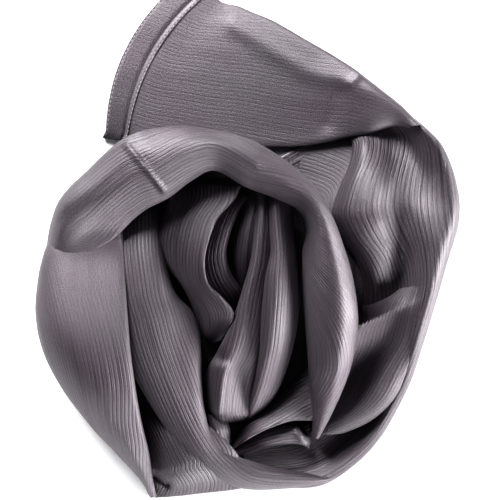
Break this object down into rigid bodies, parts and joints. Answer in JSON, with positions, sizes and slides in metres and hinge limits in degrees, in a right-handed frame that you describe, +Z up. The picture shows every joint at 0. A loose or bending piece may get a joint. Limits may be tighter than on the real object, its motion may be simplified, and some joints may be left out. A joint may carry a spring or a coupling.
{
  "type": "hijab",
  "caption": "Long crinkle-satin head scarf with a turned hem, gathered into a rope and coiled on a surface as a loose rosette.",
  "frame": {"origin": "on the surface that the scarf lies on, under the middle of its whole box", "axes": "+Z up from the surface, +Y along its longest extent towards the hemmed end, +X to the right seen from above"},
  "size_m": [0.3006, 0.3718, 0.0779],
  "materials": {
    "satin": "mauve-grey crinkle satin with fine lengthwise ribs and a soft sheen"
  },
  "bodies": {
    "root": {"tail_end": "satin", "tail_hem": "satin", "upper_right": "satin", "right_slope": "satin", "lower_right": "satin", "bottom_left": "satin", "left_inner": "satin", "left_outer": "satin", "crown_roll": "satin", "back_layer": "satin", "inner_left": "satin", "inner_crescent": "satin", "inner_dark": "satin", "centre_tongue": "satin", "centre_ridge": "satin", "bottom_fold_upper": "satin", "bottom_fold_lower": "satin", "small_fold": "satin", "hidden_layers": "satin"}
  },
  "joints": []
}
